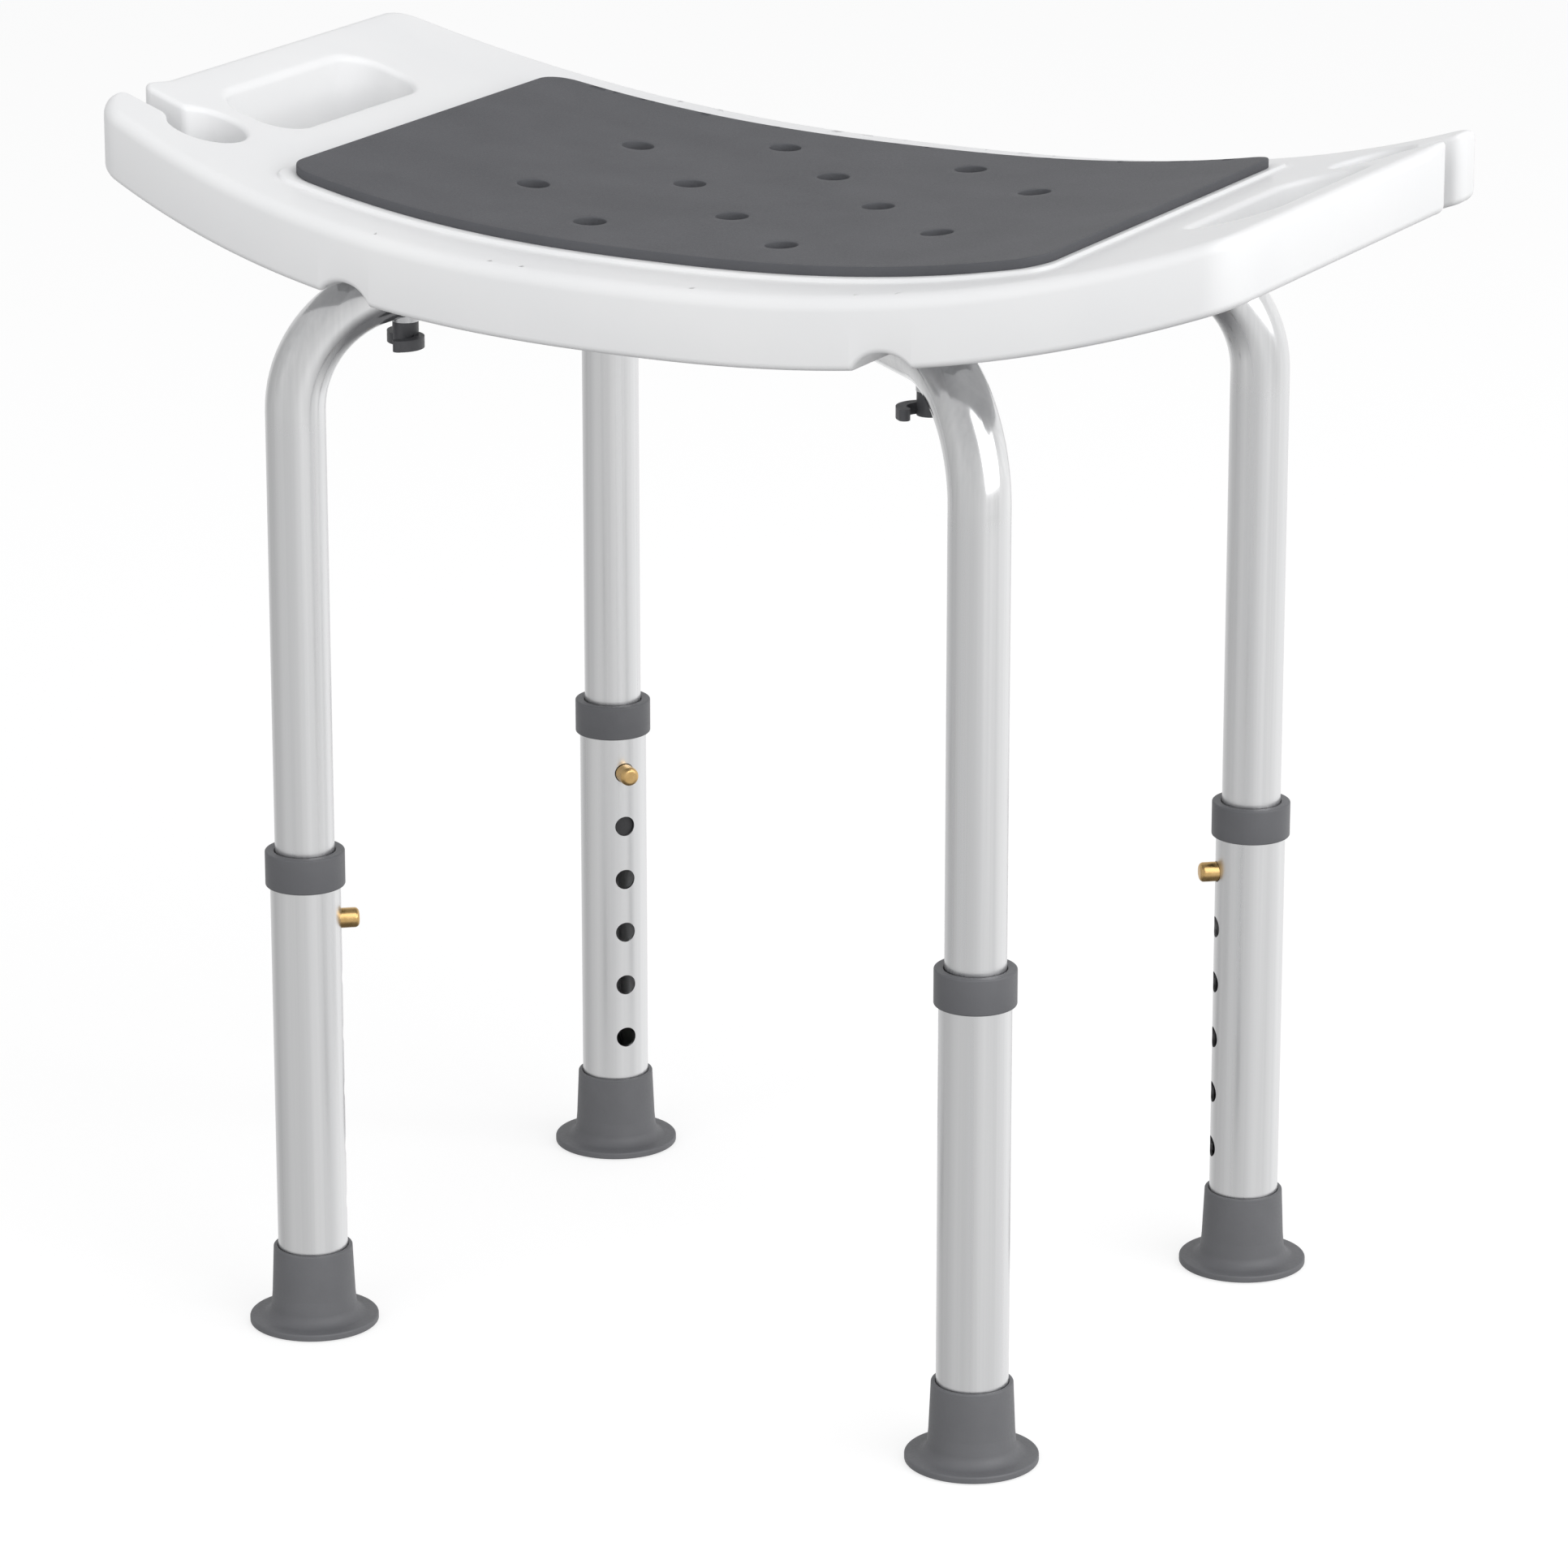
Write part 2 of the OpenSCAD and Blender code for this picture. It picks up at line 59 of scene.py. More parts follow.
# ---------------------------------------------------------------- sizes that follow the frame
SEAT_LO, SEAT_HI = box_mm("seat_shell")
HALF_LEN, HALF_W = SEAT_HI[0], SEAT_HI[1]
UNDER_Z = SEAT_LO[2]
DISH, THICK, POWER, BOW, CORNER_R = 42.0, 30.0, 2.42, 33.5, 17.0
PAD_HI = box_mm("seat_pad")[1]
PAD_LEN, PAD_W = PAD_HI[0], PAD_HI[1]
PAD_BOW, PAD_R, PAD_T = 8.0, 14.0, 4.0
BED_H, BED_RIM, BED_R = 1.5, 5.0, 10.0
DRAIN_R = 7.0
EDGE_R, TIGHT_EDGE_R, EDGE_GROWTH = 6.0, 2.6, 14.0
LEG_X = (box_mm("collar_fr")[0][0] + box_mm("collar_fr")[1][0]) / 2
LEG_Y = (box_mm("collar_br")[0][1] + box_mm("collar_br")[1][1]) / 2
RUN_Z, RUN_ANGLE, BOLT_AT, BEND_R, RUN_LEN = 457.1, 37.0, 46.5, 51.5, 150.0
LOWER_R = 15.0
BEND_Z = RUN_Z - BEND_R
CHANNEL_START, CHANNEL_END = BEND_R * 0.36, RUN_LEN + 2.3
CHANNEL_R, RELIEF_R, RELIEF_DROP, RELIEF_SHIFT = 13.0, 16.0, 6.0, 2.6
KEY_X, KEY_Y, KEY_R, MOUTH_W = HALF_LEN - 37.0, 89.5, 16.5, 13.0
SLOT_X, SLOT_Y, SLOT_HX, SLOT_HY, SLOT_R = HALF_LEN - 40.0, 5.0, 19.0, 55.5, 16.0
BUTTON_Z, HOLE_ANGLE = 182.4, 39.0
SKIN = 0.02  # keeps faces that would coincide apart


def leg_sides(leg):
    return (-1 if leg[1] == "l" else 1), (-1 if leg[0] == "f" else 1)


def leg_frame(leg, angle):
    """Origin on the leg's axis and the unit vectors towards the middle and sideways."""
    sx, sy = leg_sides(leg)
    a = math.radians(angle)
    along = np.array([-sx * math.cos(a), -sy * math.sin(a)])
    return np.array([sx * LEG_X, sy * LEG_Y]), along, np.array([-along[1], along[0]])


# ---------------------------------------------------------------- curves of the seat
def swell(x, reach):
    return (np.abs(x) / reach) ** POWER


def under(x):
    return UNDER_Z + DISH * swell(x, HALF_LEN)


def quarter(length, width, bow, r, step):
    """Long edge from the middle, then the round corner, for x and y above 0."""
    slope = lambda x: bow * POWER * (x / length) ** (POWER - 1) / length
    tangent_x = length - r * (1 - math.sin(math.atan(slope(length - r))))
    lean = math.atan(slope(tangent_x))
    cy = width - bow * swell(tangent_x, length) - r * math.cos(lean)
    xs = np.linspace(0, tangent_x, max(2, int(tangent_x / step)))
    edge = [(x, width - bow * swell(x, length)) for x in xs]
    turns = np.linspace(math.pi / 2 - lean, 0, max(6, int(r / step * 2)))[1:]
    return edge + [(length - r + r * math.cos(a), cy + r * math.sin(a)) for a in turns]


def closed_outline(length, width, bow, r, step=3.0):
    """The whole outline, counter-clockwise from the middle of the right end."""
    q = np.array(quarter(length, width, bow, r, step))[::-1]
    first = np.vstack([q, (q * [-1, 1])[::-1][1:]])
    both = np.vstack([first, -first])
    return spaced(both, step)


def spaced(points, step):
    """Closed polyline with points no further apart than step."""
    out = []
    n = len(points)
    for i in range(n):
        a, b = points[i], points[(i + 1) % n]
        gap = np.linalg.norm(b - a)
        if gap < 1e-6:
            continue
        k = max(1, int(math.ceil(gap / step)))
        out += [a + (b - a) * j / k for j in range(k)]
    return np.array(out)


def arc(cx, cy, r, a0, a1, step=1.0):
    n = max(4, int(abs(math.radians(a1 - a0)) * r / step))
    t = np.radians(np.linspace(a0, a1, n + 1))
    return [(cx + r * math.cos(a), cy + r * math.sin(a)) for a in t]


def circle(cx, cy, r, n=40):
    t = np.linspace(0, -2 * math.pi, n, endpoint=False)
    return np.c_[cx + r * np.cos(t), cy + r * np.sin(t)]


def seat_contour():
    """Outer outline with both keyholes, counter-clockwise, with the edge radius at each point."""
    mouth_r, join_r, half = 5.0, 4.0, MOUTH_W / 2
    straight = 16  # of the end, before the mouth's rounding
    relief_x, relief_reach, relief_y = 126, 22, 120  # where the reliefs need a finer edge
    fine, coarse = 0.8, 3.0
    join_x = KEY_X + math.sqrt((KEY_R + join_r) ** 2 - (half + join_r) ** 2)
    turn = math.degrees(math.atan2(half + join_r, join_x - KEY_X))
    low, high = KEY_Y - half, KEY_Y + half
    q = quarter(HALF_LEN, HALF_W, BOW, CORNER_R, coarse)
    corner_y = q[-1][1]
    path = [(HALF_LEN, -corner_y), (HALF_LEN, 0.0), (HALF_LEN, low - mouth_r - straight)]
    start = len(path)
    path += arc(HALF_LEN - mouth_r, low - mouth_r, mouth_r, 0, 90)
    path += arc(join_x, low - join_r, join_r, 90, 180 - turn)
    path += arc(KEY_X, KEY_Y, KEY_R, -turn, -360 + turn)[1:]
    path += arc(join_x, high + join_r, join_r, 180 + turn, 270)[1:]
    path += arc(HALF_LEN - mouth_r, high + mouth_r, mouth_r, 270, 360)
    stop = len(path)
    path += q[::-1]
    path += [(-x, y) for x, y in q[1:]]
    path = np.array(path)
    small = np.zeros(len(path))
    small[start:stop] = 1
    pts = np.vstack([path[:-1], -path[:-1]])
    flags = np.r_[small[:-1], small[:-1]]
    out, tight = [], []
    n = len(pts)
    for i in range(n):
        a, b = pts[i], pts[(i + 1) % n]
        gap = np.linalg.norm(b - a)
        if gap < 1e-6:
            continue
        off = min(abs(abs(a[0]) - relief_x), abs(abs(b[0]) - relief_x))
        near = off < relief_reach and abs(a[1]) > relief_y
        k = max(1, int(math.ceil(gap / (fine if near else coarse))))
        for j in range(k):
            out.append(a + (b - a) * j / k)
            tight.append(flags[i] if j == 0 or flags[(i + 1) % n] else 0)
    out, tight = np.array(out), np.array(tight)
    return out, edge_radius(out, tight, EDGE_R, TIGHT_EDGE_R)


def edge_radius(points, tight, wide, narrow):
    """Edge radius at each point: narrow where tight, growing again with the distance from there."""
    gaps = np.linalg.norm(np.roll(points, -1, 0) - points, axis=1)
    n = len(points)
    away = np.where(tight > 0, 0.0, 1e6)
    for _ in range(2):
        for i in range(n):
            away[i] = min(away[i], away[i - 1] + gaps[i - 1])
        for i in range(n - 1, -1, -1):
            away[i] = min(away[i], away[(i + 1) % n] + gaps[i])
    t = np.clip(away / EDGE_GROWTH, 0, 1)
    return narrow + (wide - narrow) * t * t * (3 - 2 * t)


def rounded_box(cx, cy, hx, hy, r, step=2.0):
    """Clockwise, so that the material is on the left."""
    pts = []
    for sx, sy, a in ((1, -1, 0), (-1, -1, -90), (-1, 1, -180), (1, 1, -270)):
        pts += arc(cx + sx * (hx - r), cy + sy * (hy - r), r, a, a - 90, 1.5)
    return spaced(np.array(pts), step)


def normals_of(points):
    """Unit vectors to the left of each point of a closed polyline: into the material."""
    d = np.roll(points, -1, 0) - np.roll(points, 1, 0)
    d /= np.linalg.norm(d, axis=1)[:, None]
    return np.c_[-d[:, 1], d[:, 0]]


def inside(points, loops):
    """Even-odd test of points against several closed loops."""
    hit = np.zeros(len(points), bool)
    x, y = points[:, 0], points[:, 1]
    for loop in loops:
        a, b = loop, np.roll(loop, -1, 0)
        for (ax, ay), (bx, by) in zip(a, b):
            if ay == by:
                continue
            cross = (ay > y) != (by > y)
            at = ax + (y - ay) * (bx - ax) / (by - ay)
            hit ^= cross & (x < at)
    return hit


# ---------------------------------------------------------------- meshes
def mesh_object(name, verts, faces, material, body, sharp=40):
    me = bpy.data.meshes.new(name)
    me.from_pydata([tuple(float(c) * MM for c in v) for v in verts], [], faces)
    me.validate()
    me.update()
    ob = bpy.data.objects.new(name, me)
    bpy.context.scene.collection.objects.link(ob)
    me.shade_smooth()
    me.set_sharp_from_angle(angle=math.radians(sharp))
    me.materials.append(material)
    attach(ob, body)
    return ob


class Slab:
    """A slab between two height fields, with vertical walls and rounded edges around every loop."""

    def __init__(self, top_fn, bottom_fn):
        self.top_fn, self.bottom_fn = top_fn, bottom_fn
        self.verts, self.faces = [], []
        self.top_loops, self.bottom_loops = [], []

    def add(self, pts):
        first = len(self.verts)
        self.verts += [tuple(p) for p in pts]
        return list(range(first, first + len(pts)))

    def strip(self, a, b):
        n = len(a)
        for i in range(n):
            j = (i + 1) % n
            self.faces.append((a[i], a[j], b[j], b[i]))

    def wall(self, loop, r_top, r_low, steps_top=6, steps_low=4):
        """The wall along a loop, with a rounding of r_top above and r_low below."""
        n = normals_of(loop)
        r_top = np.broadcast_to(np.asarray(r_top, float), (len(loop),))
        r_low = np.broadcast_to(np.asarray(r_low, float), (len(loop),))
        rings = []
        for k in range(steps_low, -1, -1):
            a = math.pi / 2 * k / steps_low
            at = loop + n * (r_low * (1 - math.cos(a)))[:, None]
            rings.append((at, self.bottom_fn(at) + r_low * (1 - math.sin(a))))
        for k in range(steps_top + 1):
            a = math.pi / 2 * k / steps_top
            at = loop + n * (r_top * (1 - math.cos(a)))[:, None]
            rings.append((at, self.top_fn(at) - r_top * (1 - math.sin(a))))
        ids = [self.add(np.c_[at, z]) for at, z in rings]
        for a, b in zip(ids, ids[1:]):
            self.strip(a, b)
        self.bottom_loops.append((rings[0][0], ids[0]))
        self.top_loops.append((rings[-1][0], ids[-1]))

    def cap(self, loops, height, extra_lines, grid, upward, clear):
        """Fills between the loops, through the extra lines and a grid of points."""
        pts = np.vstack([p for p, _ in loops])
        ids = sum((i for _, i in loops), [])
        edges, at = [], 0
        for p, _ in loops:
            m = len(p)
            edges += [(at + k, at + (k + 1) % m) for k in range(m)]
            at += m
        lines = []
        for line, closed in extra_lines:
            m = len(line)
            edges += [(at + k, at + k + 1) for k in range(m - 1)]
            if closed:
                edges.append((at + m - 1, at))
            at += m
            lines.append(line)
        borders = [p for p, _ in loops]
        grid = grid[inside(grid, borders)]
        fixed = np.vstack([pts] + lines)
        keep = np.ones(len(grid), bool)
        for chunk in np.array_split(np.arange(len(grid)), max(1, len(grid) // 800)):
            gap = np.abs(grid[chunk][:, None, :] - fixed[None]).max(2).min(1)
            keep[chunk] = gap > clear
        every = np.vstack([fixed, grid[keep]])
        out = delaunay_2d_cdt([Vector(map(float, p)) for p in every], edges, [], 0, 1e-5)
        where = np.array([tuple(v) for v in out[0]])
        tris = np.array([f for f in out[2]])
        tris = tris[inside(where[tris].mean(1), borders)]
        index = {}
        z = height(where)
        for k in np.unique(tris):
            old = [o for o in out[3][k] if o < len(ids)]
            if old:
                index[k] = ids[old[0]]
            else:
                index[k] = len(self.verts)
                self.verts.append((where[k][0], where[k][1], z[k]))
        for t in tris:
            a, b, c = (index[k] for k in t)
            if len({a, b, c}) == 3:
                self.faces.append((a, b, c) if upward else (c, b, a))


def grid_points(step, hx, hy):
    """Staggered grid over a rectangle."""
    rows = []
    for i, y in enumerate(np.arange(-hy, hy, step * 0.87)):
        xs = np.arange(-hx, hx, step) + (step / 2 if i % 2 else 0)
        rows.append(np.c_[xs, np.full(len(xs), y)])
    return np.vstack(rows)


DRAINS = [(x, y) for x in (-95.5, 0, 95.5) for y in (-43.5, 43.5)] + [
    (x, y) for x in (-45, 45) for y in (-82.5, 0, 82.5)]


def pad_loop(extra, r, step=3.0):
    return closed_outline(PAD_LEN + extra, PAD_W + extra, PAD_BOW, r, step)


BED_STEPS = ((0.0, 0.0), (0.35, 0.12), (0.8, 0.6), (1.15, 0.9), (1.6, 1.0))
BED_LOOPS = [(pad_loop(BED_RIM - inset, BED_R - inset, 2.0), share) for inset, share in BED_STEPS]


def bed(points):
    """Height of the raised bed at each point, with its soft edge."""
    h = np.zeros(len(points))
    for loop, share in BED_LOOPS:
        grown = loop * (1 + 2e-5)
        h = np.where(inside(points, [grown]), share, h)
    return h * BED_H


def shell_top(points):
    return under(points[:, 0]) + THICK + bed(points)


def shell_top_plain(points):
    return under(points[:, 0]) + THICK


def relief_start(leg):
    """Middle of a relief in x, and the distance in y at which it starts."""
    a = math.radians(RUN_ANGLE)
    x0 = leg_sides(leg)[0] * (LEG_X - BOLT_AT * math.cos(a) + RELIEF_SHIFT)
    return x0, LEG_Y - BOLT_AT * math.sin(a)


def shell_under(points):
    z = under(points[:, 0])
    for leg in LEGS:
        origin, along, side = leg_frame(leg, RUN_ANGLE)
        rel = points - origin
        t, u = rel @ along, rel @ side
        on = (t > CHANNEL_START) & (t < CHANNEL_END) & (np.abs(u) < CHANNEL_R - SKIN)
        roof = RUN_Z + np.sqrt(np.maximum(CHANNEL_R ** 2 - u ** 2, 0))
        z = np.where(on, np.maximum(z, roof), z)
        sy = leg_sides(leg)[1]
        x0, y0 = relief_start(leg)
        dx = points[:, 0] - x0
        on = (np.abs(dx) < RELIEF_R) & (points[:, 1] * sy > y0)
        roof = RUN_Z - RELIEF_DROP + np.sqrt(np.maximum(RELIEF_R ** 2 - dx ** 2, 0))
        z = np.where(on, np.maximum(z, roof), z)
    return z


ACROSS_CHANNEL = (-13.0, -12.97, -12.2, -10.6, -8, -5, -2.5, 0, 2.5, 5, 8, 10.6, 12.2, 12.97, 13.0)
ACROSS_RELIEF = (-14, -13.2, -12.4, -11, -9, -6, -3, 0, 3, 6, 9, 11, 12.4, 13.2, 14)


def crease_lines():
    """Lines on the underside that the channels and reliefs need, so that their edges are crisp."""
    lines = []
    inset, end_gap, rim = 0.05, 0.03, 4.0
    for leg in LEGS:
        origin, along, side = leg_frame(leg, RUN_ANGLE)
        ts = np.arange(CHANNEL_START + inset, CHANNEL_END, 2.0)
        for u in ACROSS_CHANNEL:
            lines.append((np.array([origin + along * t + side * u for t in ts]), False))
        for t in (CHANNEL_END - end_gap, CHANNEL_END + end_gap):
            us = np.linspace(-CHANNEL_R, CHANNEL_R, 14)
            lines.append((np.array([origin + along * t + side * u for u in us]), False))
        sy = leg_sides(leg)[1]
        x0, y0 = relief_start(leg)
        for dx in ACROSS_RELIEF:
            x = x0 + dx
            y1 = HALF_W - BOW * float(swell(x, HALF_LEN)) - rim
            ys = np.arange(y0 + inset, y1, 1.5) * sy
            lines.append((np.c_[np.full(len(ys), x), ys], False))
    return lines


# ---------------------------------------------------------------- materials
def new_material(name, colour, rough, metallic=0.0):
    m = bpy.data.materials.new(name)
    m.use_nodes = True
    b = m.node_tree.nodes["Principled BSDF"]
    b.inputs["Base Color"].default_value = (*colour, 1)
    b.inputs["Roughness"].default_value = rough
    b.inputs["Metallic"].default_value = metallic
    return m, m.node_tree.nodes, m.node_tree.links, b


def noise(nodes, links, scale, detail=3.0, stretch=(1, 1, 1), rough=0.5):
    coord = nodes.new("ShaderNodeTexCoord")
    mapping = nodes.new("ShaderNodeMapping")
    mapping.inputs["Scale"].default_value = stretch
    links.new(coord.outputs["Object"], mapping.inputs["Vector"])
    n = nodes.new("ShaderNodeTexNoise")
    n.inputs["Scale"].default_value = scale
    n.inputs["Detail"].default_value = detail
    n.inputs["Roughness"].default_value = rough
    links.new(mapping.outputs["Vector"], n.inputs["Vector"])
    return n


def spread(nodes, links, source, low, high):
    """Maps 0.3..0.7 of a noise to low..high."""
    r = nodes.new("ShaderNodeMapRange")
    r.inputs["From Min"].default_value = 0.3
    r.inputs["From Max"].default_value = 0.7
    r.inputs["To Min"].default_value = low
    r.inputs["To Max"].default_value = high
    links.new(source, r.inputs["Value"])
    return r.outputs["Result"]


def tint(nodes, links, factor, dark, light, target):
    """Mixes two colours by a factor into a colour socket."""
    mix = nodes.new("ShaderNodeMix")
    mix.data_type = "RGBA"
    mix.inputs["A"].default_value = (*dark, 1)
    mix.inputs["B"].default_value = (*light, 1)
    links.new(factor, mix.inputs["Factor"])
    links.new(mix.outputs["Result"], target)


def bump(nodes, links, height, strength, distance, bsdf):
    b = nodes.new("ShaderNodeBump")
    b.inputs["Strength"].default_value = strength
    b.inputs["Distance"].default_value = distance
    links.new(height, b.inputs["Height"])
    links.new(b.outputs["Normal"], bsdf.inputs["Normal"])


def white_plastic():
    m, nodes, links, b = new_material("white_hdpe", (0.85, 0.855, 0.86), 0.34)
    slow = noise(nodes, links, 14.0, 2.0)
    tint(nodes, links, spread(nodes, links, slow.outputs["Fac"], 0, 1),
         (0.835, 0.84, 0.848), (0.865, 0.868, 0.872), b.inputs["Base Color"])
    fine = noise(nodes, links, 900.0, 3.0)
    links.new(spread(nodes, links, fine.outputs["Fac"], 0.30, 0.40), b.inputs["Roughness"])
    bump(nodes, links, fine.outputs["Fac"], 0.10, 0.0002, b)
    b.inputs["IOR"].default_value = 1.5
    b.inputs["Specular IOR Level"].default_value = 0.3
    b.inputs["Subsurface Weight"].default_value = 0.06
    b.inputs["Subsurface Radius"].default_value = (0.006, 0.006, 0.006)
    return m


def foam():
    m, nodes, links, b = new_material("dark_foam", (0.095, 0.097, 0.105), 0.62)
    grain = noise(nodes, links, 1500.0, 4.0, rough=0.65)
    slow = noise(nodes, links, 30.0, 3.0)
    tint(nodes, links, spread(nodes, links, slow.outputs["Fac"], 0, 1),
         (0.090, 0.092, 0.100), (0.103, 0.105, 0.114), b.inputs["Base Color"])
    links.new(spread(nodes, links, grain.outputs["Fac"], 0.52, 0.70), b.inputs["Roughness"])
    bump(nodes, links, grain.outputs["Fac"], 0.30, 0.0003, b)
    b.inputs["Specular IOR Level"].default_value = 0.25
    return m


def aluminium(polished_from):
    """Satin tube, drawn along its length; smoother above the given height in metres, in the bend."""
    m, nodes, links, b = new_material("tube_aluminium", (0.80, 0.80, 0.81), 0.3, 1.0)
    streak = noise(nodes, links, 520.0, 3.0, (1, 1, 0.006))
    broad = noise(nodes, links, 90.0, 2.0, (1, 1, 0.02))
    add = nodes.new("ShaderNodeMath")
    add.operation = "ADD"
    links.new(streak.outputs["Fac"], add.inputs[0])
    links.new(broad.outputs["Fac"], add.inputs[1])
    half = nodes.new("ShaderNodeMath")
    half.operation = "MULTIPLY"
    half.inputs[1].default_value = 0.5
    links.new(add.outputs["Value"], half.inputs[0])
    tint(nodes, links, spread(nodes, links, half.outputs["Value"], 0, 1),
         (0.74, 0.745, 0.755), (0.86, 0.862, 0.866), b.inputs["Base Color"])
    coord = nodes.new("ShaderNodeTexCoord")
    split = nodes.new("ShaderNodeSeparateXYZ")
    links.new(coord.outputs["Object"], split.inputs["Vector"])
    polish = nodes.new("ShaderNodeMapRange")
    polish.interpolation_type = "SMOOTHSTEP"
    polish.inputs["From Min"].default_value = polished_from - 0.012
    polish.inputs["From Max"].default_value = polished_from + 0.010
    polish.inputs["To Min"].default_value = 0.0
    polish.inputs["To Max"].default_value = 1.0
    links.new(split.outputs["Z"], polish.inputs["Value"])
    rough = nodes.new("ShaderNodeMix")
    rough.data_type = "FLOAT"
    links.new(polish.outputs["Result"], rough.inputs["Factor"])
    links.new(spread(nodes, links, half.outputs["Value"], 0.24, 0.36), rough.inputs["A"])
    rough.inputs["B"].default_value = 0.17
    links.new(rough.outputs["Result"], b.inputs["Roughness"])
    bump(nodes, links, streak.outputs["Fac"], 0.06, 0.0001, b)
    return m


def moulded(name, dark, light, rough_low, rough_high, grain=1200.0, depth=0.12):
    m, nodes, links, b = new_material(name, light, rough_low)
    slow = noise(nodes, links, 60.0, 3.0)
    mottle = spread(nodes, links, slow.outputs["Fac"], 0, 1)
    tint(nodes, links, mottle, dark, light, b.inputs["Base Color"])
    fine = noise(nodes, links, grain, 3.0)
    links.new(spread(nodes, links, fine.outputs["Fac"], rough_low, rough_high), b.inputs["Roughness"])
    bump(nodes, links, fine.outputs["Fac"], depth, 0.0002, b)
    return m


def metal(name, dark, light, rough_low, rough_high, scale=300.0, stretch=(1, 1, 1)):
    m, nodes, links, b = new_material(name, light, rough_low, 1.0)
    n = noise(nodes, links, scale, 3.0, stretch)
    mottle = spread(nodes, links, n.outputs["Fac"], 0, 1)
    tint(nodes, links, mottle, dark, light, b.inputs["Base Color"])
    links.new(spread(nodes, links, n.outputs["Fac"], rough_low, rough_high), b.inputs["Roughness"])
    bump(nodes, links, n.outputs["Fac"], 0.05, 0.0001, b)
    return m


WHITE = white_plastic()
FOAM = foam()
TUBE = aluminium(BEND_Z * MM)
GREY = moulded("grey_plastic", (0.112, 0.114, 0.122), (0.125, 0.127, 0.136), 0.42, 0.52)
RUBBER = moulded("grey_rubber", (0.126, 0.128, 0.136), (0.140, 0.142, 0.151), 0.46, 0.58, 1000.0, 0.18)
DARK = moulded("dark_plastic", (0.022, 0.022, 0.024), (0.03, 0.03, 0.032), 0.40, 0.55)
KNOB = moulded("knob_plastic", (0.066, 0.067, 0.073), (0.082, 0.083, 0.090), 0.36, 0.50)
BRASS = metal("satin_brass", (0.62, 0.40, 0.16), (0.74, 0.50, 0.22), 0.20, 0.32)
STEEL = metal("zinc_steel", (0.56, 0.57, 0.58), (0.66, 0.66, 0.67), 0.22, 0.36)


# ---------------------------------------------------------------- seat
def build_shell():
    slab = Slab(shell_top_plain, shell_under)
    outer, radius = seat_contour()
    slab.wall(outer, radius, np.minimum(radius, 3.0), 8, 4)
    for sign in (-1, 1):
        slot = rounded_box(sign * SLOT_X, sign * SLOT_Y, SLOT_HX, SLOT_HY, SLOT_R)
        slab.wall(slot, 3.0, 2.0)
    slab.top_fn = lambda p: under(p[:, 0]) + THICK + BED_H
    for x, y in DRAINS:
        slab.wall(circle(x, y, DRAIN_R), 0.8, 1.2, 3, 3)
    bed_lines = [(loop, True) for loop, _ in BED_LOOPS]
    points = grid_points(5.0, HALF_LEN, HALF_W)
    slab.cap(slab.top_loops, shell_top, bed_lines, points, True, 1.6)
    slab.cap(slab.bottom_loops, shell_under, crease_lines(), points, False, 1.2)
    ob = mesh_object("seat_moulding", slab.verts, slab.faces, WHITE, "seat", 50)
    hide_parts("seat_shell")


def build_pad():
    base = THICK + BED_H
    slab = Slab(lambda p: under(p[:, 0]) + base + PAD_T, lambda p: under(p[:, 0]) + base + SKIN)
    slab.wall(pad_loop(0.0, PAD_R, 2.5), 0.7, 0.3, 4, 2)
    for x, y in DRAINS:
        slab.wall(circle(x, y, DRAIN_R - 0.1, 48), 0.5, 0.2, 3, 2)
    points = grid_points(4.0, HALF_LEN, HALF_W)
    slab.cap(slab.top_loops, slab.top_fn, [], points, True, 1.6)
    slab.cap(slab.bottom_loops, slab.bottom_fn, [], points, False, 1.6)
    ob = mesh_object("foam_pad", slab.verts, slab.faces, FOAM, "seat", 50)
    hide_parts("seat_pad")


build_shell()
build_pad()


# ---------------------------------------------------------------- turned pieces
def lathe(name, profile, place, material, body, node, segments=96, sharp=50):
    """Turns a closed profile of (radius, height) about an axis.

    place maps a local x, y and height to the stool's frame.
    """
    verts, faces = [], []
    rings = []
    for r, h in profile:
        if r < 1e-6:
            rings.append([len(verts)])
            verts.append(place(0.0, 0.0, h))
            continue
        ring = []
        for k in range(segments):
            a = 2 * math.pi * k / segments
            ring.append(len(verts))
            verts.append(place(r * math.cos(a), r * math.sin(a), h))
        rings.append(ring)
    pairs = list(zip(rings, rings[1:]))
    if len(rings[0]) > 1 and len(rings[-1]) > 1:
        pairs.append((rings[-1], rings[0]))
    for a, b in pairs:
        for k in range(segments):
            j = (k + 1) % segments
            if len(a) == 1:
                faces.append((a[0], b[j], b[k]))
            elif len(b) == 1:
                faces.append((a[k], a[j], b[0]))
            else:
                faces.append((a[k], a[j], b[j], b[k]))
    ob = mesh_object(name, verts, faces, material, body, sharp)
    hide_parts(node)


def round_corner(points, radii, steps=5):
    """Closed profile with its corners rounded by the given radii."""
    out = []
    n = len(points)
    for i in range(n):
        p, r = np.array(points[i], float), radii[i]
        if r <= 0:
            out.append(tuple(p))
            continue
        a, b = np.array(points[i - 1], float), np.array(points[(i + 1) % n], float)
        u, v = (a - p) / np.linalg.norm(a - p), (b - p) / np.linalg.norm(b - p)
        half = math.acos(np.clip(u @ v, -1, 1)) / 2
        reach = r / math.tan(half)
        centre = p + (u + v) / np.linalg.norm(u + v) * (r / math.sin(half))
        s, e = p + u * reach - centre, p + v * reach - centre
        a0, a1 = math.atan2(s[1], s[0]), math.atan2(e[1], e[0])
        d = (a1 - a0 + math.pi) % (2 * math.pi) - math.pi
        for k in range(steps + 1):
            t = a0 + d * k / steps
            out.append((centre[0] + r * math.cos(t), centre[1] + r * math.sin(t)))
    return out


